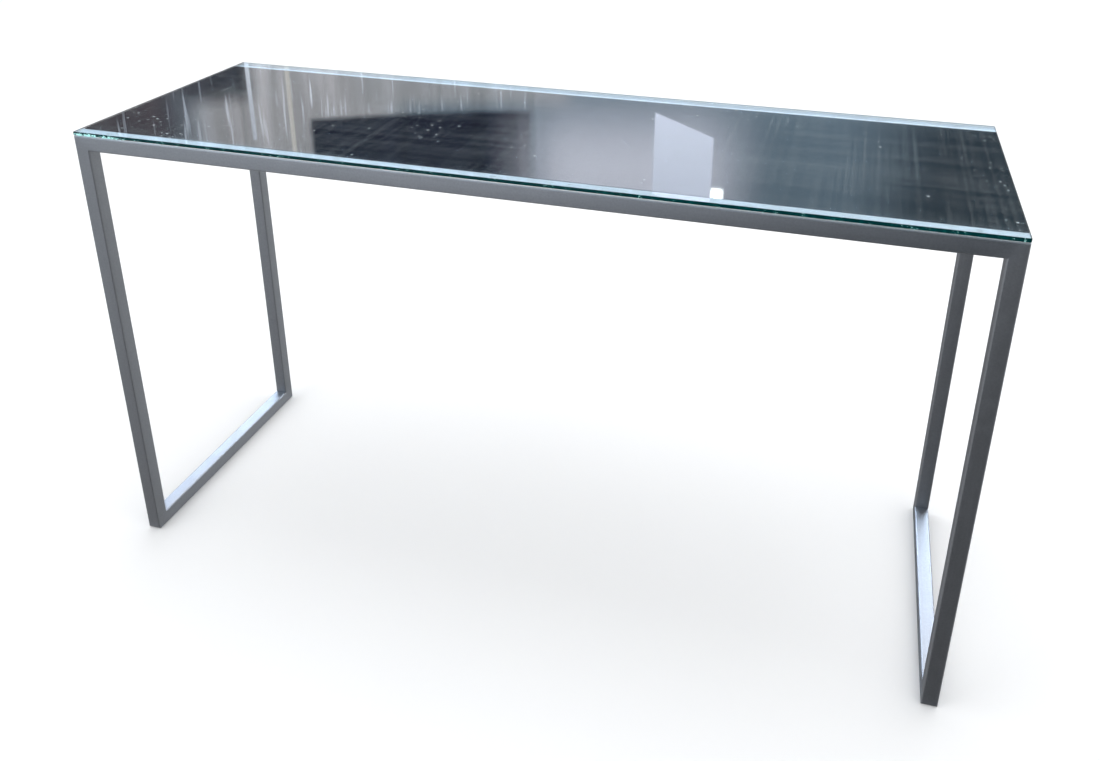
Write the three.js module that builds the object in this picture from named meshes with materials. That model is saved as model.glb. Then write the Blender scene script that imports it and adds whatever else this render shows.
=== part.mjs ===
// Console table: a welded square-tube frame with sled bases, a dark insert panel carried by
// lowered cross rails, and a clear glass top lying over both.
//
// Units are millimetres. +X runs along the length, -Y is the front, +Z is up, and the origin
// is on the floor below the middle of the table.
import * as THREE from 'three';

// ---------------------------------------------------------------- driving dimensions

const FRAME_LENGTH = 1430;        // over the outer faces of the legs, along X
const FRAME_DEPTH = 480;          // over the outer faces of the legs, along Y
const TABLE_HEIGHT = 794;         // floor to the top of the glass

const TUBE = 25;                  // side of the square tube of rails, legs and bases
const TUBE_WALL = 2;
const TUBE_RADIUS = 2.5;          // outer corner radius of that tube

const CROSS_TUBE = 20;            // side of the lighter tube that carries the panel
const CROSS_WALL = 1.5;
const CROSS_RADIUS = 2;
const INNER_CROSS_X = 240;        // the two inner cross rails stand this far from the middle

const GLASS_THICKNESS = 6;
const GLASS_CORNER_RADIUS = 2;
const GLASS_ARRIS = 0.75;         // 45 degree arris along every edge

const PANEL_THICKNESS = 4;
const PANEL_GAP = 1.5;            // between the panel's long edges and the rails
const PANEL_END_SETBACK = 0.5;    // from the panel's ends to the outer faces of the legs

const TAPE_THICKNESS = 1;         // foam tape under the panel
const TAPE_WIDTH = 12;
const TAPE_END_SETBACK = 10;      // from the end of a cross rail to the end of its tape

const BUMPER_THICKNESS = 0.5;     // clear disc between a rail and the glass
const BUMPER_RADIUS = 4;
const BUMPER_END_DISTANCE = 60;   // from the end of a rail to its first bumper

const PAD_THICKNESS = 1;          // felt pad under a base rail
const PAD_RADIUS = 9;
const PAD_END_DISTANCE = 40;      // from the end of a base rail to the middle of its pad

const CORNER_STEPS = 5;           // facets of one rounded tube corner
const DISC_STEPS = 24;            // facets of a disc's rim

// ---------------------------------------------------------------- worked-out places

const HALF_LENGTH = FRAME_LENGTH / 2;
const HALF_DEPTH = FRAME_DEPTH / 2;
const FRAME_BOTTOM = PAD_THICKNESS;
const GLASS_BOTTOM = TABLE_HEIGHT - GLASS_THICKNESS;
const FRAME_TOP = GLASS_BOTTOM - BUMPER_THICKNESS;
const RAIL_CENTRE_Z = FRAME_TOP - TUBE / 2;
const CROSS_TOP = FRAME_TOP - TUBE + CROSS_TUBE;
const CROSS_LENGTH = FRAME_DEPTH - 2 * TUBE;
const LEG_X = HALF_LENGTH - TUBE / 2;
const LEG_Y = HALF_DEPTH - TUBE / 2;

const ENDS = [['left', -1], ['right', 1]];
const SIDES = [['front', -1], ['rear', 1]];

// ---------------------------------------------------------------- materials

const finishes = {
  steel: { color: 0x8d9196, roughness: 0.38, metalness: 1 },
  glass: { color: 0xd9efe9, roughness: 0.03, metalness: 0, transparent: true, opacity: 0.35 },
  panel: { color: 0x191c21, roughness: 0.08, metalness: 0 },
  tape: { color: 0x26282a, roughness: 0.9, metalness: 0 },
  bumper: { color: 0xe9eeee, roughness: 0.2, metalness: 0, transparent: true, opacity: 0.5 },
  felt: { color: 0x55575a, roughness: 0.95, metalness: 0 },
};

function makeMesh(name, geometry, finish) {
  const mesh = new THREE.Mesh(geometry, new THREE.MeshStandardMaterial(finishes[finish]));
  mesh.name = name;
  return mesh;
}

// ---------------------------------------------------------------- shapes

// A closed rectangle about the origin with its four corners rounded to the radius.
function roundedRectangle(path, width, height, radius) {
  const x = width / 2 - radius;
  const y = height / 2 - radius;
  const quarter = Math.PI / 2;
  path.moveTo(x + radius, -y);
  path.absarc(x, y, radius, 0, quarter, false);
  path.absarc(-x, y, radius, quarter, 2 * quarter, false);
  path.absarc(-x, -y, radius, 2 * quarter, 3 * quarter, false);
  path.absarc(x, -y, radius, 3 * quarter, 4 * quarter, false);
  return path;
}

// A square tube along Z, open at both ends and centred on the origin. mitreStart and mitreEnd
// are outward slopes of the two ends: [1, 0] lets the end grow by 1 mm for each mm along X,
// so the side at +X is the long one, and [0, 0] cuts the end square.
function tubeGeometry({ length, side, wall, radius, mitreStart = [0, 0], mitreEnd = [0, 0] }) {
  const section = roundedRectangle(new THREE.Shape(), side, side, radius);
  const inside = side - 2 * wall;
  const insideRadius = Math.max(radius - wall, 0.5);
  section.holes.push(roundedRectangle(new THREE.Path(), inside, inside, insideRadius));
  const geometry = new THREE.ExtrudeGeometry(section, {
    depth: length,
    bevelEnabled: false,
    curveSegments: CORNER_STEPS,
  });
  geometry.translate(0, 0, -length / 2);
  const points = geometry.attributes.position;
  for (let i = 0; i < points.count; i += 1) {
    const x = points.getX(i);
    const y = points.getY(i);
    const z = points.getZ(i);
    const slope = z > 0 ? mitreEnd : mitreStart;
    const growth = slope[0] * x + slope[1] * y;
    points.setZ(i, z > 0 ? z + growth : z - growth);
  }
  geometry.computeVertexNormals();
  return geometry;
}

function frameTube(options) {
  return tubeGeometry({ side: TUBE, wall: TUBE_WALL, radius: TUBE_RADIUS, ...options });
}

function discGeometry(radius, thickness) {
  const geometry = new THREE.CylinderGeometry(radius, radius, thickness, DISC_STEPS);
  geometry.rotateX(Math.PI / 2);
  return geometry;
}

function stripGeometry(width, length, thickness) {
  return new THREE.BoxGeometry(width, length, thickness);
}

// ---------------------------------------------------------------- frame

// A long top rail. Its ends are mitred at 45 degrees to the legs, long side on top.
function makeLongRail(side, sideSign) {
  const geometry = frameTube({
    length: FRAME_LENGTH - TUBE,
    mitreStart: [0, 1],
    mitreEnd: [0, 1],
  });
  // The tube's own Z goes to +X and its own Y to +Z.
  geometry.applyMatrix4(new THREE.Matrix4().set(
    0, 0, 1, 0,
    1, 0, 0, 0,
    0, 1, 0, 0,
    0, 0, 0, 1,
  ));
  const mesh = makeMesh(`${side}_rail`, geometry, 'steel');
  mesh.position.set(0, sideSign * LEG_Y, RAIL_CENTRE_Z);
  return mesh;
}

// A leg. Its top is mitred to the long rail (outer X side long) and its foot is mitred to the
// base rail (outer Y side long).
function makeLeg(side, sideSign, end, endSign) {
  const geometry = frameTube({
    length: FRAME_TOP - FRAME_BOTTOM - TUBE,
    mitreStart: [0, sideSign],
    mitreEnd: [endSign, 0],
  });
  const mesh = makeMesh(`${side}_${end}_leg`, geometry, 'steel');
  mesh.position.set(endSign * LEG_X, sideSign * LEG_Y, (FRAME_TOP + FRAME_BOTTOM) / 2);
  return mesh;
}

// A floor rail that joins a front and a rear leg. Both ends are mitred, long side below.
function makeBaseRail(end, endSign) {
  const geometry = frameTube({
    length: FRAME_DEPTH - TUBE,
    mitreStart: [0, -1],
    mitreEnd: [0, -1],
  });
  // The tube's own Z goes to +Y, its own Y to +Z and its own X to -X.
  geometry.applyMatrix4(new THREE.Matrix4().set(
    -1, 0, 0, 0,
    0, 0, 1, 0,
    0, 1, 0, 0,
    0, 0, 0, 1,
  ));
  const mesh = makeMesh(`${end}_base_rail`, geometry, 'steel');
  mesh.position.set(endSign * LEG_X, 0, FRAME_BOTTOM + TUBE / 2);
  return mesh;
}

// A cross rail below the panel, cut square between the front and the rear of the frame, its
// underside level with the underside of the long rails.
function makeCrossRail(name, x) {
  const geometry = tubeGeometry({
    length: CROSS_LENGTH,
    side: CROSS_TUBE,
    wall: CROSS_WALL,
    radius: CROSS_RADIUS,
  });
  geometry.rotateX(Math.PI / 2);
  const mesh = makeMesh(name, geometry, 'steel');
  mesh.position.set(x, 0, CROSS_TOP - CROSS_TUBE / 2);
  return mesh;
}

// ---------------------------------------------------------------- panel and glass

function makeTape(name, x) {
  const geometry = stripGeometry(TAPE_WIDTH, CROSS_LENGTH - 2 * TAPE_END_SETBACK, TAPE_THICKNESS);
  const mesh = makeMesh(name, geometry, 'tape');
  mesh.position.set(x, 0, CROSS_TOP + TAPE_THICKNESS / 2);
  return mesh;
}

function makeInsertPanel() {
  const length = FRAME_LENGTH - 2 * PANEL_END_SETBACK;
  const depth = CROSS_LENGTH - 2 * PANEL_GAP;
  const mesh = makeMesh('insert_panel', new THREE.BoxGeometry(length, depth, PANEL_THICKNESS), 'panel');
  mesh.position.set(0, 0, CROSS_TOP + TAPE_THICKNESS + PANEL_THICKNESS / 2);
  return mesh;
}

// The glass is cut flush with the outside of the frame, with an arris round both faces.
function makeGlassTop() {
  const outline = roundedRectangle(
    new THREE.Shape(),
    FRAME_LENGTH - 2 * GLASS_ARRIS,
    FRAME_DEPTH - 2 * GLASS_ARRIS,
    GLASS_CORNER_RADIUS,
  );
  const geometry = new THREE.ExtrudeGeometry(outline, {
    depth: GLASS_THICKNESS - 2 * GLASS_ARRIS,
    bevelEnabled: true,
    bevelThickness: GLASS_ARRIS,
    bevelSize: GLASS_ARRIS,
    bevelSegments: 1,
    curveSegments: CORNER_STEPS,
  });
  geometry.translate(0, 0, GLASS_ARRIS);
  const mesh = makeMesh('glass_top', geometry, 'glass');
  mesh.position.set(0, 0, GLASS_BOTTOM);
  return mesh;
}

// ---------------------------------------------------------------- small pads

function makeBumper(name, x, y) {
  const mesh = makeMesh(name, discGeometry(BUMPER_RADIUS, BUMPER_THICKNESS), 'bumper');
  mesh.position.set(x, y, FRAME_TOP + BUMPER_THICKNESS / 2);
  return mesh;
}

function makeFloorPad(name, x, y) {
  const mesh = makeMesh(name, discGeometry(PAD_RADIUS, PAD_THICKNESS), 'felt');
  mesh.position.set(x, y, PAD_THICKNESS / 2);
  return mesh;
}

// ---------------------------------------------------------------- assembly

const table = new THREE.Group();

for (const [side, sideSign] of SIDES) {
  table.add(makeLongRail(side, sideSign));
  for (const [end, endSign] of ENDS) {
    table.add(makeLeg(side, sideSign, end, endSign));
    const padY = sideSign * (HALF_DEPTH - PAD_END_DISTANCE);
    table.add(makeFloorPad(`${side}_${end}_floor_pad`, endSign * LEG_X, padY));
    const bumperX = endSign * (HALF_LENGTH - BUMPER_END_DISTANCE);
    table.add(makeBumper(`${side}_${end}_glass_bumper`, bumperX, sideSign * LEG_Y));
  }
  table.add(makeBumper(`${side}_middle_glass_bumper`, 0, sideSign * LEG_Y));
}

for (const [end, endSign] of ENDS) {
  const endRailX = endSign * (HALF_LENGTH - CROSS_TUBE / 2);
  const innerRailX = endSign * INNER_CROSS_X;
  table.add(makeBaseRail(end, endSign));
  table.add(makeCrossRail(`${end}_end_rail`, endRailX));
  table.add(makeCrossRail(`${end}_inner_cross_rail`, innerRailX));
  table.add(makeTape(`${end}_end_panel_tape`, endRailX));
  table.add(makeTape(`${end}_inner_panel_tape`, innerRailX));
}

table.add(makeInsertPanel());
table.add(makeGlassTop());

export default table;
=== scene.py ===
"""Looks of the glass-topped console table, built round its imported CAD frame."""
import math
import random

import bmesh
import bpy
from mathutils import Euler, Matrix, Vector


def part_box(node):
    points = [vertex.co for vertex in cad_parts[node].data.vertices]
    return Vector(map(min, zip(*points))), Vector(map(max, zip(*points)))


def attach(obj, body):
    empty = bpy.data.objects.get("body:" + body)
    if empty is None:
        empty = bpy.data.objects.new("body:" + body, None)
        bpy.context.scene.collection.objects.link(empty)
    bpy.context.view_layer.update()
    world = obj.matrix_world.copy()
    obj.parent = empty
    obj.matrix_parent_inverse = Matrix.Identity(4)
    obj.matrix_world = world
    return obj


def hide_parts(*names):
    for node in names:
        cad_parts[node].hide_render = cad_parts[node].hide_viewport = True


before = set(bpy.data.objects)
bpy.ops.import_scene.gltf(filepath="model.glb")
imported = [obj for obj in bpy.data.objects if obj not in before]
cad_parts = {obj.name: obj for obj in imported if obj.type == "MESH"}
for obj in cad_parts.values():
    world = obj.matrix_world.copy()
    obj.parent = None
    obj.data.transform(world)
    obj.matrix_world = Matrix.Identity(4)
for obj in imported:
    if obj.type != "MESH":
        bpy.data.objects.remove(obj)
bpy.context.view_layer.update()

MM = 0.001

# ---------------------------------------------------------------- places, from the frame

SIDES = (("front", -1), ("rear", 1))
ENDS = (("left", -1), ("right", 1))

RAIL_LOW, RAIL_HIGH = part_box("front_rail")
GLASS_LOW, GLASS_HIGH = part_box("glass_top")
PANEL_LOW, PANEL_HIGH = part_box("insert_panel")

TUBE = RAIL_HIGH.z - RAIL_LOW.z
TUBE_WALL, TUBE_RADIUS = 2 * MM, 2.5 * MM
CROSS_WALL, CROSS_RADIUS = 1.5 * MM, 2 * MM
CORNER_STEPS = 8                  # faces of one rounded tube corner
WELD_ROUNDING = 1.4 * MM          # the outer edge of a mitre, after grinding
FOOT_ROUNDING = 4.5 * MM          # the same at the feet
ROUNDING_STEPS = 4                # faces of half a ground mitre edge
GROUND_RINGS = (3 * MM, 9 * MM, 26 * MM)   # from a mitre: how far its grinding marks fade
SEAM_WIDTH = 1.2 * MM             # of the faint line along a mitre
SQUARE_CUT_RINGS = (0.0, 1.5 * MM, 12 * MM)   # from the cut of a cross rail
TUBE_SMOOTH_ANGLE = 35.0          # degrees: flatter edges are shaded smooth
SHEET_SMOOTH_ANGLE = 20.0         # below the slope of the arrises, so that they stay crisp

FILLET_RADIUS = 1.7 * MM          # of the welds at the cross rails
FILLET_RINGS, FILLET_STEPS = 15, 10
FILLET_SEED = 7

GLASS_CORNER, GLASS_CORNER_STEPS = 2 * MM, 6
GLASS_ARRISES = ((0.8 * MM, 0.9 * MM), (0.7 * MM, 0.7 * MM))    # lower and upper: inset, height
PANEL_CORNER, PANEL_CORNER_STEPS = 1 * MM, 3
PANEL_ARRISES = ((0.3 * MM, 0.3 * MM), (0.3 * MM, 0.3 * MM))
PAINTED_HIGHLIGHT_BAND = (0.9 * MM, 1.2 * MM)  # where the painted highlight on the lowest part of the glass edge fades, above it
GLASS_IOR = 1.52
CHIPS_AND_GLINTS_LEFT = 210 * MM           # how far from the glass's front corners its edge is chipped and painted with glints
CHIPS_AND_GLINTS_RIGHT = 55 * MM


# ---------------------------------------------------------------- node helpers

class Nodes:
    """The node tree of a new material or world, with short calls for the nodes used here."""

    def __init__(self, name, kind="material"):
        library = bpy.data.worlds if kind == "world" else bpy.data.materials
        self.owner = library.new(name)
        self.owner.use_nodes = True
        self.tree = self.owner.node_tree
        self.tree.nodes.clear()
        self.output = self.add(f"ShaderNodeOutput{kind.capitalize()}")
        texture_coords = self.add("ShaderNodeTexCoord")
        self.coords = texture_coords.outputs["Generated" if kind == "world" else "Object"]

    def add(self, kind, **settings):
        node = self.tree.nodes.new(kind)
        for key, value in settings.items():
            setattr(node, key, value)
        return node

    def feed(self, socket, value):
        """Links a node's output to a socket, or sets the socket's own value."""
        if isinstance(value, bpy.types.NodeSocket):
            self.tree.links.new(value, socket)
        else:
            socket.default_value = value

    def scaled(self, scale):
        """The coordinates, stretched by a factor along each axis."""
        node = self.add("ShaderNodeMapping")
        self.feed(node.inputs["Vector"], self.coords)
        node.inputs["Scale"].default_value = scale
        return node.outputs["Vector"]

    def noise(self, vector, scale=1.0, detail=2.0, roughness=0.5, distortion=0.0):
        """Soft noise, mostly between 0.3 and 0.7."""
        node = self.add("ShaderNodeTexNoise")
        self.feed(node.inputs["Vector"], vector)
        node.inputs["Scale"].default_value = scale
        node.inputs["Detail"].default_value = detail
        node.inputs["Roughness"].default_value = roughness
        node.inputs["Distortion"].default_value = distortion
        return node.outputs["Fac"]

    def spread(self, value, low, high, to_low=0.0, to_high=1.0):
        """Maps value from low..high to to_low..to_high, with both ends held."""
        node = self.add("ShaderNodeMapRange")
        self.feed(node.inputs["Value"], value)
        for key, number in (("From Min", low), ("From Max", high),
                            ("To Min", to_low), ("To Max", to_high)):
            self.feed(node.inputs[key], number)
        return node.outputs["Result"]

    def split(self, vector):
        node = self.add("ShaderNodeSeparateXYZ")
        self.feed(node.inputs[0], vector)
        return node.outputs[0], node.outputs[1], node.outputs[2]

    def window(self, value, low, high, feather):
        """1 where value is between low and high, falling softly to 0 over feather outside."""
        rise = self.add("ShaderNodeMapRange", interpolation_type="SMOOTHSTEP")
        fall = self.add("ShaderNodeMapRange", interpolation_type="SMOOTHSTEP")
        for node, start, stop, ends in ((rise, low - feather, low, (0.0, 1.0)),
                                        (fall, high, high + feather, (1.0, 0.0))):
            self.feed(node.inputs["Value"], value)
            node.inputs["From Min"].default_value = start
            node.inputs["From Max"].default_value = stop
            node.inputs["To Min"].default_value = ends[0]
            node.inputs["To Max"].default_value = ends[1]
        return self.math("MULTIPLY", rise.outputs["Result"], fall.outputs["Result"])

    def math(self, operation, first, second=0.0):
        node = self.add("ShaderNodeMath", operation=operation)
        self.feed(node.inputs[0], first)
        self.feed(node.inputs[1], second)
        return node.outputs[0]

    def blend(self, share, first, second):
        """A colour between first and second."""
        node = self.add("ShaderNodeMix", data_type="RGBA")
        self.feed(node.inputs[0], share)
        self.feed(node.inputs[6], first)
        self.feed(node.inputs[7], second)
        return node.outputs[2]

    def attribute(self, name):
        """A value that the mesh carries at its points."""
        return self.add("ShaderNodeAttribute", attribute_name=name).outputs["Fac"]

    def bump(self, height, strength, distance, normal=None):
        node = self.add("ShaderNodeBump")
        self.feed(node.inputs["Height"], height)
        node.inputs["Strength"].default_value = strength
        node.inputs["Distance"].default_value = distance
        if normal is not None:
            self.feed(node.inputs["Normal"], normal)
        return node.outputs["Normal"]

    def mix(self, share, first, second):
        """A shader between first and second."""
        node = self.add("ShaderNodeMixShader")
        for socket, value in zip(node.inputs, (share, first, second)):
            self.feed(socket, value)
        return node.outputs[0]

    def principled(self, **inputs):
        node = self.add("ShaderNodeBsdfPrincipled")
        for key, value in inputs.items():
            self.feed(node.inputs[key.replace("_", " ")], value)
        return node

    def finish(self, shader):
        self.feed(self.output.inputs["Surface"], shader)
        return self.owner


def rgb(red, green, blue):
    return (red, green, blue, 1.0)


# ---------------------------------------------------------------- materials

def brushed_steel(name, axis):
    """Satin steel with its grain along one axis of the tube: fine brushed lines, slow mottling
    and flecks, paler rounded edges, and a patch with no grain and a faint seam at each mitre,
    where the weld is ground."""
    n = Nodes(name)
    along = "XYZ".index(axis)
    grain_scale = [1900.0, 1900.0, 1900.0]
    grain_scale[along] = 14.0
    grain = n.noise(n.scaled(grain_scale), detail=3.0, roughness=0.6)
    streak_scale = [260.0, 260.0, 260.0]
    streak_scale[along] = 5.0
    streaks = n.noise(n.scaled(streak_scale), detail=2.0)
    mottle = n.noise(n.coords, scale=9.0, detail=4.0, roughness=0.55, distortion=0.4)
    smudges = n.noise(n.coords, scale=38.0, detail=3.0, distortion=0.8)
    flecks = n.noise(n.coords, scale=300.0, detail=3.0, roughness=0.65)
    ground = n.attribute("ground")
    seam = n.attribute("seam")
    edge = n.attribute("edge")
    swirl = n.noise(n.scaled((700.0, 700.0, 700.0)), detail=4.0, roughness=0.7)

    tone = n.math("ADD", n.spread(grain, 0.3, 0.7, -0.05, 0.05),
                  n.spread(mottle, 0.3, 0.7, -0.03, 0.03))
    tone = n.math("ADD", tone, n.spread(streaks, 0.3, 0.7, -0.03, 0.03))
    tone = n.math("ADD", tone, n.spread(flecks, 0.3, 0.7, -0.11, 0.11))
    tone = n.math("ADD", tone, n.spread(edge, 0.0, 1.0, 0.0, 0.1))
    tone = n.math("SUBTRACT", tone, n.spread(seam, 0.0, 1.0, 0.0, 0.03))
    share = n.math("ADD", tone, 0.5)
    colour = n.blend(share, rgb(0.235, 0.245, 0.262), rgb(0.475, 0.49, 0.51))

    rough = n.math("ADD", n.spread(grain, 0.25, 0.75, 0.40, 0.48),
                   n.spread(smudges, 0.35, 0.75, -0.02, 0.03))
    rough = n.math("ADD", rough, n.spread(ground, 0.0, 1.0, 0.0, 0.05))
    height = n.math("ADD", n.math("MULTIPLY", grain, n.spread(ground, 0.0, 1.0, 1.0, 0.35)),
                    n.math("MULTIPLY", swirl, n.spread(ground, 0.0, 1.0, 0.0, 0.8)))
    height = n.math("SUBTRACT", height, n.spread(seam, 0.4, 1.0, 0.0, 0.1))
    fine = n.bump(height, 0.3, 0.03 * MM)
    waves = n.bump(mottle, 0.05, 0.2 * MM, fine)

    grain_direction = n.add("ShaderNodeCombineXYZ")
    grain_direction.inputs[along].default_value = 1.0
    shader = n.principled(Base_Color=colour, Metallic=1.0, Roughness=rough, Normal=waves,
                          Tangent=grain_direction.outputs[0])
    shader.inputs["Anisotropic"].default_value = 0.5
    shader.inputs["Anisotropic Rotation"].default_value = 0.25   # gloss spreads across the grain
    no_grain = n.principled(Base_Color=colour, Metallic=1.0, Roughness=rough, Normal=waves)
    return n.finish(n.mix(n.spread(ground, 0.2, 0.95), shader.outputs[0], no_grain.outputs[0]))


def weld_steel(name):
    """The ground fillet of a weld: darker than the tube, with coarse marks."""
    n = Nodes(name)
    lumps = n.noise(n.coords, scale=420.0, detail=4.0, roughness=0.6)
    colour = n.blend(n.spread(lumps, 0.3, 0.7), rgb(0.15, 0.15, 0.16), rgb(0.34, 0.34, 0.35))
    shader = n.principled(Base_Color=colour, Metallic=1.0,
                          Roughness=n.spread(lumps, 0.3, 0.7, 0.34, 0.52),
                          Normal=n.bump(lumps, 0.6, 0.15 * MM))
    return n.finish(shader.outputs[0])


def wiped_streaks(n):
    """Straight wipe marks along and across the table, in patches, from 0 to 1."""
    along = n.noise(n.scaled((1.5, 65.0, 1.0)), detail=1.0)
    across = n.noise(n.scaled((150.0, 1.5, 1.0)), detail=1.0)
    marks = n.math("MAXIMUM", n.spread(along, 0.66, 0.74), n.spread(across, 0.66, 0.74))
    patches = n.noise(n.coords, scale=3.2, detail=2.0)
    return n.math("MULTIPLY", marks, n.spread(patches, 0.42, 0.62))


def cross_hatch(n):
    """Fine hairlines that polishing leaves along and across the table, in patches, 0 to 1."""
    along = n.noise(n.scaled((1.2, 48.0, 1.0)), detail=1.5)
    across = n.noise(n.scaled((150.0, 1.5, 1.0)), detail=1.5)
    patches = n.noise(n.coords, scale=5.0, detail=3.0)
    lines = n.math("ADD", n.spread(along, 0.4, 0.7, 0.0, 0.6), n.spread(across, 0.4, 0.7, 0.0, 0.6))
    return n.math("MULTIPLY", lines, n.spread(patches, 0.38, 0.62, 0.3, 1.0))


def dust_specks(n, scale, rarity, size):
    """Small specks in a few of the cells of a grid of the given scale, from 0 to 1."""
    cells = n.add("ShaderNodeTexVoronoi", feature="F1")
    n.feed(cells.inputs["Vector"], n.coords)
    cells.inputs["Scale"].default_value = scale
    pick = n.add("ShaderNodeSeparateColor")
    n.feed(pick.inputs[0], cells.outputs["Color"])
    chosen = n.spread(pick.outputs[0], rarity, rarity + 0.01)
    near = n.spread(cells.outputs["Distance"], size * 0.5, size, 1.0, 0.0)
    return n.math("MULTIPLY", chosen, near)


def clear_glass(name):
    """Polished float glass that refracts, and lets lamps light what lies below it, under a thin
    film of dust, smears and hairlines."""
    n = Nodes(name)
    smears = wiped_streaks(n)
    hairlines = cross_hatch(n)
    clusters = n.spread(n.noise(n.coords, scale=8.0, detail=1.0), 0.54, 0.64)
    specks = n.math("MULTIPLY", dust_specks(n, 75.0, 0.6, 0.2), clusters)
    flecks = dust_specks(n, 30.0, 0.85, 0.085)
    shader = n.principled(Base_Color=rgb(0.93, 0.985, 0.975),
                          Roughness=n.spread(smears, 0.0, 1.0, 0.0, 0.02),
                          IOR=GLASS_IOR, Transmission_Weight=1.0)
    dust = n.principled(Base_Color=rgb(0.62, 0.70, 0.73), Roughness=0.9)
    veil = n.math("ADD", n.math("MULTIPLY", smears, 0.025), n.math("MULTIPLY", hairlines, 0.045))
    veil = n.math("ADD", veil, n.math("MULTIPLY", specks, 0.5))
    veil = n.math("ADD", veil, n.math("MULTIPLY", flecks, 0.6))
    dusty = n.mix(veil, shader.outputs[0], dust.outputs[0])
    tint = n.add("ShaderNodeBsdfTransparent")
    tint.inputs["Color"].default_value = rgb(0.9, 0.965, 0.95)
    path = n.add("ShaderNodeLightPath")
    return n.finish(n.mix(path.outputs["Is Shadow Ray"], dusty, tint.outputs[0]))


def glass_edge(name, dark, light, mirror):
    """The green edge of float glass, between the dark and the light colour, with fine grinding
    lines along it, painted glints, and chips near the front corners painted with bright
    glints. Its lowest millimetre is pale at the left, a painted highlight, and dark at the
    right, painted shade. From inside the glass it mirrors by the mirror colour, as a polished
    edge does, but the two ends are dull."""
    n = Nodes(name)
    lines = n.noise(n.scaled((30.0, 30.0, 2600.0)), detail=2.0)
    # painted glints: lighter teal spots along the edge
    painted_glints = n.noise(n.scaled((190.0, 190.0, 120.0)), detail=3.0, roughness=0.7)
    x, y, z = n.split(n.coords)
    lowest = n.spread(z, GLASS_LOW.z + PAINTED_HIGHLIGHT_BAND[1], GLASS_LOW.z + PAINTED_HIGHLIGHT_BAND[0])
    share = n.math("ADD", n.spread(lines, 0.35, 0.7, 0.0, 0.3),
                   n.spread(painted_glints, 0.5, 0.75, 0.0, 0.4))
    # painted highlight: the lowest millimetre of the edge is made pale towards the left
    painted_highlight_low = n.math("MULTIPLY", lowest, n.spread(x, 0.1, GLASS_HIGH.x, 0.85, -0.2))
    share = n.math("MAXIMUM", n.math("ADD", share, painted_highlight_low), 0.0)
    from_front = n.math("SUBTRACT", y, GLASS_LOW.y)
    from_left = n.math("ADD", from_front, n.math("SUBTRACT", x, GLASS_LOW.x))
    from_right = n.math("ADD", from_front, n.math("SUBTRACT", GLASS_HIGH.x, x))
    # where the edge is chipped near the front corners; the chips there are painted with bright
    # glints
    worn = n.math("ADD", n.spread(from_left, CHIPS_AND_GLINTS_LEFT, 30 * MM, 0.0, 1.0),
                  n.spread(from_right, CHIPS_AND_GLINTS_RIGHT, 0.0, 0.0, 0.4))
    low_down = n.spread(z, GLASS_HIGH.z - 0.8 * MM, GLASS_HIGH.z - 3 * MM)
    groups = n.noise(n.scaled((110.0, 110.0, 1.0)), detail=1.0)
    chip_glint_noise = n.noise(n.scaled((420.0, 420.0, 600.0)), detail=3.0, roughness=0.7)
    chip_glint_noise = n.math("ADD", chip_glint_noise, n.spread(groups, 0.35, 0.65, -0.11, 0.09))
    chips_and_glints = n.math("ADD", chip_glint_noise, n.math("MULTIPLY", n.math("MULTIPLY", worn, low_down), 0.22))
    # painted shade: the lowest millimetre of the edge darkens towards the right end
    shaded = n.math("MULTIPLY", lowest, n.spread(x, 0.2, GLASS_HIGH.x, 0.0, 0.75))
    colour = n.blend(shaded, n.blend(share, dark, light), rgb(0.0, 0.02, 0.024))
    # chips: colour only, a painted glint of bright cyan
    colour = n.blend(n.spread(chips_and_glints, 0.69, 0.74), colour, rgb(0.5, 0.98, 0.95))
    outside = n.principled(Base_Color=colour,
                           Roughness=n.spread(lines, 0.3, 0.7, 0.08, 0.2), IOR=GLASS_IOR,
                           Specular_IOR_Level=0.15, Normal=n.bump(lines, 0.2, 0.03 * MM))
    at_end = n.spread(n.math("ABSOLUTE", x), GLASS_HIGH.x - 2 * MM, GLASS_HIGH.x - 1 * MM)
    inside = n.add("ShaderNodeBsdfGlossy")
    n.feed(inside.inputs["Color"], n.blend(at_end, mirror, rgb(0.12, 0.13, 0.13)))
    inside.inputs["Roughness"].default_value = 0.04
    from_inside = n.add("ShaderNodeNewGeometry").outputs["Backfacing"]
    return n.finish(n.mix(from_inside, outside.outputs[0], inside.outputs[0]))


def gloss_panel(name):
    """The dark gloss face of the insert panel, with hairline scratches and dust."""
    n = Nodes(name)
    depth = n.noise(n.coords, scale=2.4, detail=2.0)
    hairs = n.noise(n.scaled((6.0, 900.0, 1.0)), detail=2.0, distortion=0.3)
    hairs_across = n.noise(n.scaled((1100.0, 5.0, 1.0)), detail=2.0, distortion=0.3)
    worn = n.math("MAXIMUM", n.spread(hairs, 0.66, 0.74), n.spread(hairs_across, 0.68, 0.76))
    specks = dust_specks(n, 55.0, 0.86, 0.05)
    colour = n.blend(n.spread(depth, 0.3, 0.7), rgb(0.010, 0.013, 0.018), rgb(0.020, 0.025, 0.030))
    colour = n.blend(n.math("MULTIPLY", worn, 0.12), colour, rgb(0.2, 0.21, 0.22))
    colour = n.blend(n.math("MULTIPLY", specks, 0.7), colour, rgb(0.5, 0.5, 0.48))
    shader = n.principled(Base_Color=colour, IOR=1.5,
                          Roughness=n.spread(worn, 0.0, 1.0, 0.04, 0.12),
                          Normal=n.bump(n.noise(n.coords, scale=11.0), 0.05, 0.2 * MM))
    return n.finish(shader.outputs[0])


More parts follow.
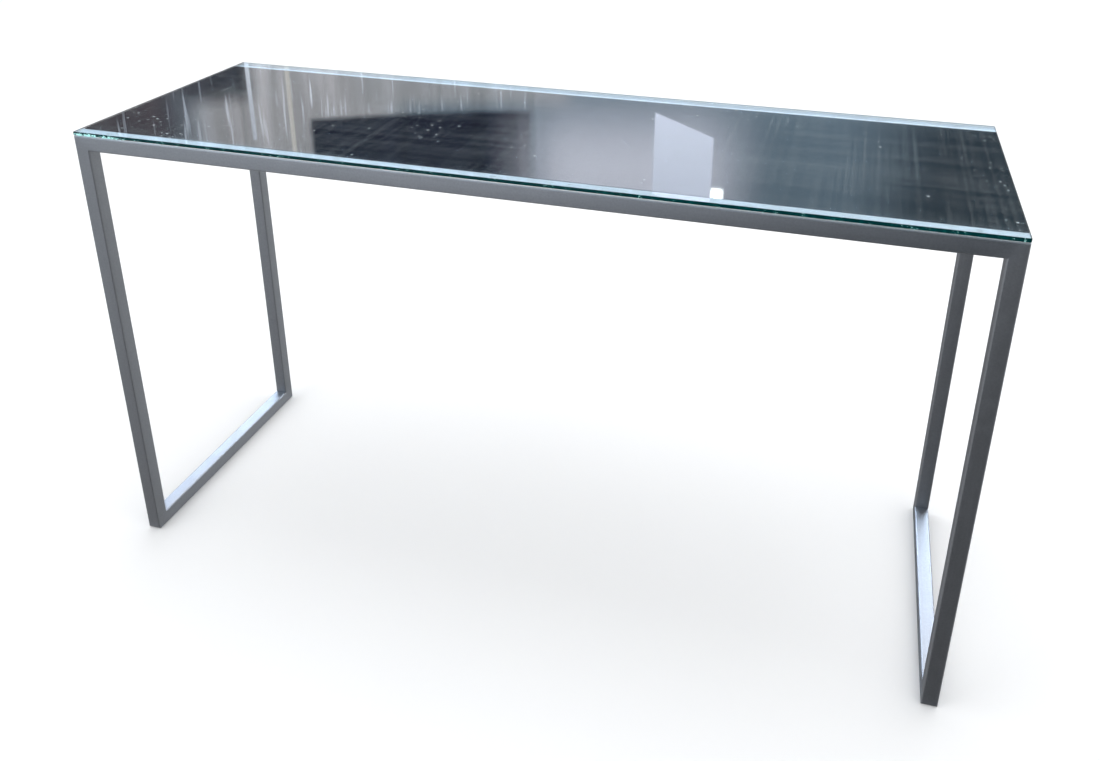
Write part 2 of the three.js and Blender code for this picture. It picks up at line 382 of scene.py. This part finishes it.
def panel_back(name):
    """The painted back of the insert panel: matt, with a rolled texture."""
    n = Nodes(name)
    stipple = n.noise(n.coords, scale=900.0, detail=3.0)
    tone = n.noise(n.coords, scale=14.0, detail=3.0)
    colour = n.blend(n.spread(tone, 0.3, 0.7), rgb(0.020, 0.020, 0.021), rgb(0.036, 0.036, 0.037))
    shader = n.principled(Base_Color=colour, Roughness=n.spread(tone, 0.3, 0.7, 0.6, 0.75),
                          Normal=n.bump(stipple, 0.5, 0.1 * MM))
    return n.finish(shader.outputs[0])


def foam(name):
    """Closed-cell foam tape: black, full of small cells."""
    n = Nodes(name)
    cells = n.add("ShaderNodeTexVoronoi")
    n.feed(cells.inputs["Vector"], n.coords)
    cells.inputs["Scale"].default_value = 2200.0
    colour = n.blend(cells.outputs["Distance"], rgb(0.012, 0.012, 0.013), rgb(0.05, 0.05, 0.052))
    shader = n.principled(Base_Color=colour, Roughness=0.9,
                          Normal=n.bump(cells.outputs["Distance"], 0.6, 0.15 * MM))
    return n.finish(shader.outputs[0])


def clear_vinyl(name):
    """A soft clear disc, slightly milky, that all but vanishes on the steel."""
    n = Nodes(name)
    cloud = n.noise(n.coords, scale=350.0, detail=2.0)
    milk = n.principled(Base_Color=n.blend(cloud, rgb(0.3, 0.31, 0.31), rgb(0.42, 0.43, 0.43)),
                        Roughness=n.spread(cloud, 0.3, 0.7, 0.25, 0.4))
    clear = n.add("ShaderNodeBsdfTransparent")
    return n.finish(n.mix(0.12, clear.outputs[0], milk.outputs[0]))


def felt(name):
    """Pressed grey felt."""
    n = Nodes(name)
    fibres = n.noise(n.coords, scale=1500.0, detail=4.0, roughness=0.7, distortion=1.5)
    colour = n.blend(n.spread(fibres, 0.3, 0.7), rgb(0.05, 0.05, 0.053), rgb(0.17, 0.17, 0.175))
    shader = n.principled(Base_Color=colour, Roughness=0.95, Sheen_Weight=0.4,
                          Normal=n.bump(fibres, 0.8, 0.2 * MM))
    return n.finish(shader.outputs[0])


STEEL = {axis: brushed_steel(f"steel_grain_{axis.lower()}", axis) for axis in "XYZ"}
WELD = weld_steel("weld_ground")
GLASS = clear_glass("glass_clear")
GLASS_EDGE = glass_edge("glass_edge", rgb(0.0, 0.012, 0.014), rgb(0.0, 0.095, 0.092),
                        rgb(0.86, 0.96, 0.98))
GLASS_TOP_ARRIS = glass_edge("glass_top_arris", rgb(0.002, 0.02, 0.022), rgb(0.005, 0.06, 0.065),
                             rgb(0.10, 0.16, 0.17))
# the lower arris: a ground arris whose white is a painted highlight line along the foot of the
# glass edge
GLASS_LOW_ARRIS_PAINTED_HIGHLIGHT = glass_edge("glass_low_arris_painted_highlight", rgb(0.12, 0.3, 0.3), rgb(1.0, 1.0, 1.0),
                             rgb(0.30, 0.38, 0.40))
PANEL = gloss_panel("panel_gloss")
PANEL_BACK = panel_back("panel_back_paint")
FOAM = foam("foam_tape")
VINYL = clear_vinyl("clear_vinyl")
FELT = felt("pressed_felt")


# ---------------------------------------------------------------- mesh helpers

def make_object(name, mesh, node=None, materials=()):
    """Adds a piece that rides on the root body and, if node is given, replaces that node."""
    for material in materials:
        mesh.materials.append(material)
    piece = bpy.data.objects.new(name, mesh)
    bpy.context.scene.collection.objects.link(piece)
    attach(piece, "root")
    if node:
        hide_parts(node)


def smooth(mesh, angle):
    """Shades a mesh smooth, apart from edges that turn by more than angle degrees."""
    mesh.shade_smooth()
    mesh.set_sharp_from_angle(angle=math.radians(angle))


def rounded_square(half_u, half_v, radius, steps):
    """Points (u, v, on_corner) round a rectangle with rounded corners, anticlockwise."""
    points = []
    corners = ((1, -1, -90), (1, 1, 0), (-1, 1, 90), (-1, -1, 180))
    for sign_u, sign_v, start in corners:
        centre_u, centre_v = sign_u * (half_u - radius), sign_v * (half_v - radius)
        for i in range(steps + 1):
            angle = math.radians(start + 90 * i / steps)
            u = centre_u + radius * math.cos(angle)
            v = centre_v + radius * math.sin(angle)
            points.append((u, v, math.sin(math.pi * i / steps)))
    return points


def mitre_rings(rounding):
    """(distance from the mitre plane, how far the outer face is drawn in) for the rings that
    round off a mitre's outer edge and then carry the grinding marks."""
    rings = []
    for i in range(ROUNDING_STEPS + 1):
        turn = math.radians(45 * (1 - i / ROUNDING_STEPS))
        distance = rounding * (math.cos(turn) - math.sin(turn))
        rings.append((distance, rounding * (1 - math.cos(turn))))
    rings.extend((rounding + extra, 0.0) for extra in GROUND_RINGS)
    return rings


class Tube:
    """A square tube between two planes across its axis. Each end is cut square, or mitred at 45
    degrees with its long side towards outward."""

    def __init__(self, name, axis, outer=TUBE, wall=TUBE_WALL, radius=TUBE_RADIUS):
        self.name, self.axis = name, axis
        self.low, self.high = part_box(name)
        self.centre = (self.low + self.high) / 2
        self.half, self.wall, self.radius = outer / 2, wall, radius
        self.along = "XYZ".index(axis)
        self.u_axis, self.v_axis = (self.along + 1) % 3, (self.along + 2) % 3

    def place(self, along, u, v):
        point = Vector((0, 0, 0))
        point[self.along] = along
        point[self.u_axis] = self.centre[self.u_axis] + u
        point[self.v_axis] = self.centre[self.v_axis] + v
        return point

    def ring(self, section, end, outward, distance, drawn_in):
        """One ring of points. end is -1 for the low end and 1 for the high end."""
        limit = self.high[self.along] if end > 0 else self.low[self.along]
        points = []
        for u, v, corner in section:
            back = distance
            if outward is not None:
                lateral = [0.0, 0.0, 0.0]
                lateral[self.u_axis], lateral[self.v_axis] = u, v
                reach = sum(a * b for a, b in zip(lateral, outward))
                kept = min(reach, self.half - drawn_in)
                shift = kept - reach
                u += shift * outward[self.u_axis]
                v += shift * outward[self.v_axis]
                back += self.half - kept
            points.append((self.place(limit - end * back, u, v), corner))
        return points

    def end_rings(self, section, end, outward, full, rounding=WELD_ROUNDING):
        """The rings of one end, from its cut inwards, each with its seam and ground shares. The
        inside of a tube is not full: it has only the ring at the cut."""
        if not full:
            steps = [(0.0, 0.0)]
        elif outward is None:
            steps = [(distance, 0.0) for distance in SQUARE_CUT_RINGS]
        else:
            steps = mitre_rings(rounding)
        rings = []
        for distance, drawn_in in steps:
            seam = max(0.0, 1 - distance / SEAM_WIDTH)
            ground = max(0.0, 1 - distance / GROUND_RINGS[-1])
            rings.append((self.ring(section, end, outward, distance, drawn_in), seam, ground))
        return rings

    def build(self, outward_low=None, outward_high=None, rounding=(WELD_ROUNDING, WELD_ROUNDING)):
        """Makes the tube. rounding is that of the outer edge at the low and the high end."""
        outside = rounded_square(self.half, self.half, self.radius, CORNER_STEPS)
        inner_half = self.half - self.wall
        inside = rounded_square(inner_half, inner_half, max(self.radius - self.wall, 0.5 * MM),
                                CORNER_STEPS)
        rings = self.end_rings(outside, -1, outward_low, True, rounding[0])
        rings += reversed(self.end_rings(outside, 1, outward_high, True, rounding[1]))
        hidden = self.end_rings(inside, -1, outward_low, False)
        hidden += self.end_rings(inside, 1, outward_high, False)

        mesh = bpy.data.meshes.new(self.name)
        work = bmesh.new()
        layers = {key: work.verts.layers.float.new(key) for key in ("seam", "ground", "edge")}

        def add_ring(ring, seam, ground):
            made = []
            for point, corner in ring:
                vertex = work.verts.new(point)
                vertex[layers["seam"]] = seam
                vertex[layers["ground"]] = ground
                vertex[layers["edge"]] = corner
                made.append(vertex)
            return made

        outer_rings = [add_ring(*r) for r in rings]
        inner_rings = [add_ring(*r) for r in hidden]
        loops = outer_rings + inner_rings[::-1] + [outer_rings[0]]
        count = len(outside)
        for first, second in zip(loops, loops[1:]):
            for i in range(count):
                j = (i + 1) % count
                work.faces.new((first[i], first[j], second[j], second[i]))
        bmesh.ops.recalc_face_normals(work, faces=work.faces)
        work.to_mesh(mesh)
        work.free()
        smooth(mesh, TUBE_SMOOTH_ANGLE)
        make_object(f"{self.name}_tube", mesh, self.name, [STEEL[self.axis]])


def slab(name, low, high, corner_radius, arrises, corner_steps, node, materials):
    """A flat sheet with rounded corners and an arris round both faces: the lower and the upper
    one as (inset, height). materials are those of its top, upright edge, top arris, underside
    and lower arris."""
    centre = (low + high) / 2
    half = (high - low) / 2
    (lower_inset, lower_height), (upper_inset, upper_height) = arrises
    levels = ((low.z, lower_inset), (low.z + lower_height, 0.0),
              (high.z - upper_height, 0.0), (high.z, upper_inset))
    mesh = bpy.data.meshes.new(name)
    work = bmesh.new()
    rings = []
    for z, inset in levels:
        outline = rounded_square(half.x - inset, half.y - inset, corner_radius, corner_steps)
        rings.append([work.verts.new((centre.x + u, centre.y + v, z)) for u, v, _ in outline])
    count = len(rings[0])
    for level, (first, second) in enumerate(zip(rings, rings[1:])):
        for i in range(count):
            j = (i + 1) % count
            face = work.faces.new((first[i], first[j], second[j], second[i]))
            face.material_index = (4, 1, 2)[level]
    work.faces.new(rings[-1]).material_index = 0
    work.faces.new(rings[0][::-1]).material_index = 3
    bmesh.ops.recalc_face_normals(work, faces=work.faces)
    work.to_mesh(mesh)
    work.free()
    smooth(mesh, SHEET_SMOOTH_ANGLE)
    make_object(name, mesh, node, materials)


# ---------------------------------------------------------------- frame

def outward(axis, sign):
    """The direction of an axis, or against it."""
    direction = [0.0, 0.0, 0.0]
    direction["XYZ".index(axis)] = float(sign)
    return direction


def build_frame():
    for side, side_sign in SIDES:
        Tube(f"{side}_rail", "X").build(outward("Z", 1), outward("Z", 1))
        for end, end_sign in ENDS:
            leg = Tube(f"{side}_{end}_leg", "Z")
            leg.build(outward("Y", side_sign), outward("X", end_sign),
                      (FOOT_ROUNDING, WELD_ROUNDING))
    for end, _ in ENDS:
        base = Tube(f"{end}_base_rail", "Y")
        base.build(outward("Z", -1), outward("Z", -1), (FOOT_ROUNDING, FOOT_ROUNDING))
        for kind in ("end_rail", "inner_cross_rail"):
            low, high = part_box(f"{end}_{kind}")
            rail = Tube(f"{end}_{kind}", "Y", high.x - low.x, CROSS_WALL, CROSS_RADIUS)
            rail.build()


def weld_bead(work, start, stop, rng):
    """A rounded, slightly uneven fillet from start to stop."""
    length = (stop - start).length
    direction = (stop - start).normalized()
    side = direction.orthogonal().normalized()
    other = direction.cross(side)
    loops = []
    for i in range(FILLET_RINGS):
        t = i / (FILLET_RINGS - 1)
        swell = math.sqrt(max(0.0, 1 - abs(2 * t - 1) ** 8))
        uneven = 1 + 0.1 * math.sin(i * 2.1) + rng.uniform(-0.05, 0.05)
        size = FILLET_RADIUS * max(swell * uneven, 0.05)
        middle = start + direction * (length * t)
        loop = []
        for k in range(FILLET_STEPS):
            angle = 2 * math.pi * k / FILLET_STEPS
            outwards = side * math.cos(angle) + other * math.sin(angle)
            loop.append(work.verts.new(middle + size * outwards))
        loops.append(loop)
    for first, second in zip(loops, loops[1:]):
        for k in range(FILLET_STEPS):
            j = (k + 1) % FILLET_STEPS
            work.faces.new((first[k], first[j], second[j], second[k]))
    work.faces.new(loops[0][::-1])
    work.faces.new(loops[-1])


def build_welds():
    """Fillets where a cross rail meets the frame, on the upright sides that stay open."""
    rng = random.Random(FILLET_SEED)
    for end, end_sign in ENDS:
        for kind in ("end_rail", "inner_cross_rail"):
            low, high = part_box(f"{end}_{kind}")
            xs = [low.x, high.x]
            if kind == "end_rail":
                xs = [high.x if end_sign < 0 else low.x]
            work = bmesh.new()
            for x in xs:
                for y in (low.y, high.y):
                    weld_bead(work, Vector((x, y, low.z + 2 * MM)),
                              Vector((x, y, high.z - 1 * MM)), rng)
            bmesh.ops.recalc_face_normals(work, faces=work.faces)
            mesh = bpy.data.meshes.new(f"{end}_{kind}_welds")
            work.to_mesh(mesh)
            work.free()
            mesh.shade_smooth()
            make_object(f"{end}_{kind}_welds", mesh, None, [WELD])


# ---------------------------------------------------------------- glass, panel and pads

def build_top():
    slab("glass_sheet", GLASS_LOW, GLASS_HIGH, GLASS_CORNER, GLASS_ARRISES, GLASS_CORNER_STEPS,
         "glass_top", [GLASS, GLASS_EDGE, GLASS_TOP_ARRIS, GLASS, GLASS_LOW_ARRIS_PAINTED_HIGHLIGHT])
    slab("gloss_insert", PANEL_LOW, PANEL_HIGH, PANEL_CORNER, PANEL_ARRISES, PANEL_CORNER_STEPS,
         "insert_panel", [PANEL, PANEL, PANEL, PANEL_BACK, PANEL])


def finish_small_nodes():
    """Materials for the tape, discs and pads, whose CAD shapes stay as they are."""
    finishes = (("_panel_tape", FOAM), ("_glass_bumper", VINYL), ("_floor_pad", FELT))
    for name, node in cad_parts.items():
        for ending, material in finishes:
            if name.endswith(ending):
                node.data.materials.clear()
                node.data.materials.append(material)


# ---------------------------------------------------------------- stage

FLOOR_SIZE = 60.0


def build_floor():
    """A pale floor, clear from below so that the underside of the table can be looked at."""
    n = Nodes("pale_floor")
    cloud = n.noise(n.coords, scale=1.3, detail=3.0)
    shader = n.principled(Base_Color=n.blend(cloud, rgb(0.86, 0.86, 0.86), rgb(0.89, 0.89, 0.89)),
                          Roughness=0.75)
    clear = n.add("ShaderNodeBsdfTransparent")
    from_below = n.add("ShaderNodeNewGeometry").outputs["Backfacing"]
    material = n.finish(n.mix(from_below, shader.outputs[0], clear.outputs[0]))
    half = FLOOR_SIZE / 2
    mesh = bpy.data.meshes.new("floor")
    mesh.from_pydata([(-half, -half, 0), (half, -half, 0), (half, half, 0), (-half, half, 0)],
                     [], [(0, 1, 2, 3)])
    mesh.materials.append(material)
    floor = bpy.data.objects.new("floor", mesh)
    bpy.context.scene.collection.objects.link(floor)
    floor.visible_glossy = False


# What gloss mirrors, as (elevation in degrees, colour): dim light from the floor, a dark band
# above eye height that keeps the glass clear, a soft ceiling, and dark overhead.
SKY = (
    (-90, (0.28, 0.28, 0.29)),
    (-40, (0.30, 0.30, 0.31)),
    (-12, (0.42, 0.43, 0.44)),
    (2, (0.26, 0.28, 0.31)),
    (12, (0.23, 0.31, 0.40)),
    (25, (0.21, 0.29, 0.38)),
    (30, (0.90, 1.05, 1.25)),
    (55, (1.10, 1.25, 1.45)),
    (63, (0.18, 0.21, 0.25)),
    (90, (0.07, 0.08, 0.10)),
)
# Soft panels in it, as (azimuths, elevations, feather, colour), with azimuth from the back of
# the table (+Y) towards its right end (+X), all in degrees.
PANELS = (
    ((-75, -34), (-90, -14), 8, (0.5, 0.51, 0.52)),        # floor behind the left end
    ((-28, 12), (-90, -24), 6, (0.05, 0.05, 0.055)),       # floor behind the middle
    ((18, 37), (-34, -10), 8, (0.78, 0.81, 0.85)),         # floor behind the right end
    ((28, 75), (-9, 4), 6, (0.85, 0.87, 0.9)),             # low at the back right
    ((-181, -120), (-12, 3), 6, (0.84, 0.88, 0.95)),       # low at the front left
    ((174, 181), (-12, 3), 6, (0.84, 0.88, 0.95)),
    ((-170, -150), (-12, 3), 10, (1.15, 1.2, 1.32)),
    ((-140, -112), (-24, -8), 8, (0.58, 0.61, 0.64)),
    ((60, 125), (-45, -5), 10, (0.40, 0.41, 0.42)),        # low at the right
    ((154, 181), (-90, -19), 12, (0.035, 0.037, 0.04)),    # floor in front
    ((-181, -173), (-90, -19), 9, (0.035, 0.037, 0.04)),
    ((154, 172), (-18, 6), 14, (0.05, 0.053, 0.057)),      # dark above it, at the front right
    ((-200, -188), (-18, 6), 14, (0.05, 0.053, 0.057)),
    ((95, 165), (8, 40), 15, (0.22, 0.25, 0.28)),          # the ceiling over the front right
    ((140, 181), (25, 82), 8, (0.37, 0.40, 0.43)),
    ((-23, 16), (1, 10), 2, (4.5, 4.4, 4.4)),              # a lit wall low behind the table
    ((6.2, 40), (12.5, 23), 7, (0.055, 0.072, 0.095)),     # dark behind the right end
    ((-60, -40), (3, 22), 4, (0.11, 0.09, 0.105)),         # dark behind the left end
    ((-36, -28), (3, 21), 3, (0.66, 0.64, 0.68)),          # a grey cloth behind the left half
    ((-28, -17), (3, 15.6), 1.5, (0.56, 0.56, 0.60)),
    ((-37.6, -35.2), (12.4, 14.6), 1.5, (0.07, 0.07, 0.09)),   # a dark fold
    ((-34.64, -34.52), (12, 17.6), 0.1, (1.0, 1.05, 1.2)),     # two bright seams
    ((-32.52, -32.38), (12, 18.6), 0.1, (1.05, 1.0, 0.95)),
    ((-31.2, -18.8), (17.0, 21.3), 0.45, (0.02, 0.02, 0.045)),  # dark below the cloth
    ((-15.5, -9.5), (20.5, 23), 6, (1.23, 1.24, 1.45)),    # a pale board behind the middle
    ((-50, 6), (23.6, 34), 1.2, (6.9, 8.7, 11.3)),         # ceiling lamps behind the table
    ((4, 30), (23.6, 34), 1.2, (9.6, 11.8, 14.6)),
    ((-50, 70), (37, 58), 3, (1.25, 0.95, 0.7)),
    ((-7.35, -7.0), (21.15, 21.45), 0.35, (8.0, 8.2, 8.4)),  # a small lamp
)
# Long lamps behind, level with the length of the table, as (azimuths, height over distance
# behind, feather of that, colour).
LAMP_END_FEATHER = 4.0
LONG_LAMPS = (
    ((-24, 12), (0.286, 0.2952), 0.0008, (0.58, 0.72, 0.90)),
    ((-33, 12), (0.2948, 0.2957), 0.0004, (1.2, 1.4, 1.65)),
    ((-45, 14), (0.3972, 0.46), 0.001, (0.75, 0.95, 1.12)),
)
# A white board with a slanting top edge: its azimuths, the elevation of its edge at azimuth 0,
# and how much that rises for each degree of azimuth.
BOARD_AZIMUTHS = (-11.0, -7.6)
BOARD_EDGE, BOARD_SLANT = 20.95, 0.372
BOARD_HEIGHT, BOARD_FEATHER = 4.5, 0.15
BOARD_COLOUR = (1.40, 1.48, 1.80)
# Soft folds in the grey cloth, and thin bright threads in front of it and of the dark to its left.
FOLDED_AZIMUTHS, FOLDED_ELEVATIONS = (-40, -19), (3, 20)
FOLD_STRETCH = 0.06               # elevation counts this much, so folds and threads run upright
THREADED = (((-42, -31.5), (3, 19.5)), ((-31.5, -19), (3, 16.4)))
THREAD_COLOUR, THREAD_FEATHER = (0.42, 0.46, 0.54), 0.5
DOME_LIGHT = (1.17, 1.18, 1.19)   # what matt surfaces get from all round
BACKDROP = (1.05, 1.05, 1.05)     # what the camera sees above the floor


def build_world():
    """Gloss mirrors the sky with its panels, lamps, board and cloth. Matt surfaces are lit by an
    even dome instead, and the camera sees a plain backdrop."""
    n = Nodes("studio", "world")
    x, y, z = n.split(n.coords)
    azimuth = n.math("DEGREES", n.math("ARCTAN2", x, y))
    elevation = n.math("DEGREES", n.math("ARCSINE", z))
    ramp = n.add("ShaderNodeValToRGB")
    n.feed(ramp.inputs["Fac"], n.spread(elevation, -90.0, 90.0))
    stops = ramp.color_ramp.elements
    while len(stops) < len(SKY):
        stops.new(0.5)
    for stop, (height, colour) in zip(stops, SKY):
        stop.position, stop.color = (height + 90) / 180, rgb(*colour)
    mirrored = ramp.outputs["Color"]
    for azimuths, elevations, feather, colour in PANELS:
        share = n.math("MULTIPLY", n.window(azimuth, *azimuths, feather),
                       n.window(elevation, *elevations, feather))
        mirrored = n.blend(share, mirrored, rgb(*colour))

    slope = n.math("DIVIDE", z, y)
    for azimuths, slopes, feather, colour in LONG_LAMPS:
        share = n.math("MULTIPLY", n.window(azimuth, *azimuths, LAMP_END_FEATHER),
                       n.window(slope, *slopes, feather))
        mirrored = n.blend(share, mirrored, rgb(*colour))

    above_edge = n.math("SUBTRACT", elevation, n.math("MULTIPLY", azimuth, BOARD_SLANT))
    board = n.math("MULTIPLY", n.window(azimuth, *BOARD_AZIMUTHS, BOARD_FEATHER),
                   n.window(above_edge, BOARD_EDGE, BOARD_EDGE + BOARD_HEIGHT, BOARD_FEATHER))
    mirrored = n.blend(board, mirrored, rgb(*BOARD_COLOUR))

    place = n.add("ShaderNodeCombineXYZ")
    n.feed(place.inputs[0], azimuth)
    n.feed(place.inputs[1], n.math("MULTIPLY", elevation, FOLD_STRETCH))
    folds = n.noise(place.outputs[0], scale=0.9, detail=2.0, distortion=0.3)
    threads = n.spread(n.noise(place.outputs[0], scale=4.5, detail=1.0), 0.60, 0.72)
    cloth = n.math("MULTIPLY", n.window(azimuth, *FOLDED_AZIMUTHS, 3),
                   n.window(elevation, *FOLDED_ELEVATIONS, 2))
    lit = n.math("ADD", 1.0, n.math("MULTIPLY", cloth, n.spread(folds, 0.3, 0.7, -0.3, 0.25)))
    shaded = n.add("ShaderNodeVectorMath", operation="SCALE")
    n.feed(shaded.inputs[0], mirrored)
    n.feed(shaded.inputs["Scale"], lit)
    mirrored = shaded.outputs[0]

    for azimuths, elevations in THREADED:
        share = n.math("MULTIPLY", n.window(azimuth, *azimuths, THREAD_FEATHER),
                       n.window(elevation, *elevations, THREAD_FEATHER))
        thread = n.blend(n.math("MULTIPLY", share, threads), rgb(0, 0, 0), rgb(*THREAD_COLOUR))
        total = n.add("ShaderNodeVectorMath", operation="ADD")
        n.feed(total.inputs[0], mirrored)
        n.feed(total.inputs[1], thread)
        mirrored = total.outputs[0]

    path = n.add("ShaderNodeLightPath")
    background = n.add("ShaderNodeBackground")
    seen = n.blend(path.outputs["Is Diffuse Ray"], mirrored, rgb(*DOME_LIGHT))
    n.feed(background.inputs["Color"], n.blend(path.outputs["Is Camera Ray"], seen, rgb(*BACKDROP)))
    world = n.finish(background.outputs[0])
    world.cycles.sampling_method = "NONE"   # so that matt surfaces see the dome light alone
    bpy.context.scene.world = world


def area_light(name, at, target, width, height, radiance, colour):
    """A softbox at a place, facing a target, of the given brightness per unit of its face."""
    data = bpy.data.lights.new(name, "AREA")
    data.shape = "RECTANGLE"
    data.size, data.size_y = width, height
    data.energy = radiance * width * height * math.pi
    data.color = colour
    lamp = bpy.data.objects.new(name, data)
    lamp.location = at
    lamp.rotation_euler = (Vector(target) - Vector(at)).to_track_quat("-Z", "Y").to_euler()
    bpy.context.scene.collection.objects.link(lamp)
    return lamp


def build_lights():
    top = (0.0, 0.0, 0.8)             # about the middle of the table's top
    overhead = area_light("overhead_softbox", (0.0, 0.6, 4.2), top, 4.0, 2.6, 1.2,
                          (0.96, 0.98, 1.0))
    overhead.visible_glossy = False   # so that the glass stays dark from above
    area_light("left_front_softbox", (-2.4, -2.4, 2.4), top, 1.6, 1.2, 2.0,
               (0.90, 0.95, 1.0))


# ---------------------------------------------------------------- camera

CAMERA_AT = (0.478, -1.480, 1.293)
CAMERA_HEADING = 16.37            # degrees to the left of +Y
CAMERA_PITCH = 22.66              # degrees below the horizon
CAMERA_ROLL = 0.33
LENS, SENSOR = 32.55, 36.0        # millimetres
SHIFT = (-0.0146, -0.1517)        # the photograph is cut from the lower part of a taller view


def build_camera():
    data = bpy.data.cameras.new("camera")
    data.lens, data.sensor_width = LENS, SENSOR
    data.shift_x, data.shift_y = SHIFT
    data.clip_end = 100.0
    camera = bpy.data.objects.new("camera", data)
    turn = Euler((math.radians(90 - CAMERA_PITCH), 0.0, math.radians(CAMERA_HEADING)), "XYZ")
    roll = Euler((0.0, 0.0, math.radians(CAMERA_ROLL)), "XYZ")
    camera.rotation_mode = "QUATERNION"
    camera.rotation_quaternion = turn.to_quaternion() @ roll.to_quaternion()
    camera.location = CAMERA_AT
    bpy.context.scene.collection.objects.link(camera)
    bpy.context.scene.camera = camera


# ---------------------------------------------------------------- everything

build_frame()
build_welds()
build_top()
finish_small_nodes()
build_floor()
build_world()
build_lights()
build_camera()
bpy.context.scene.view_settings.view_transform = "Standard"
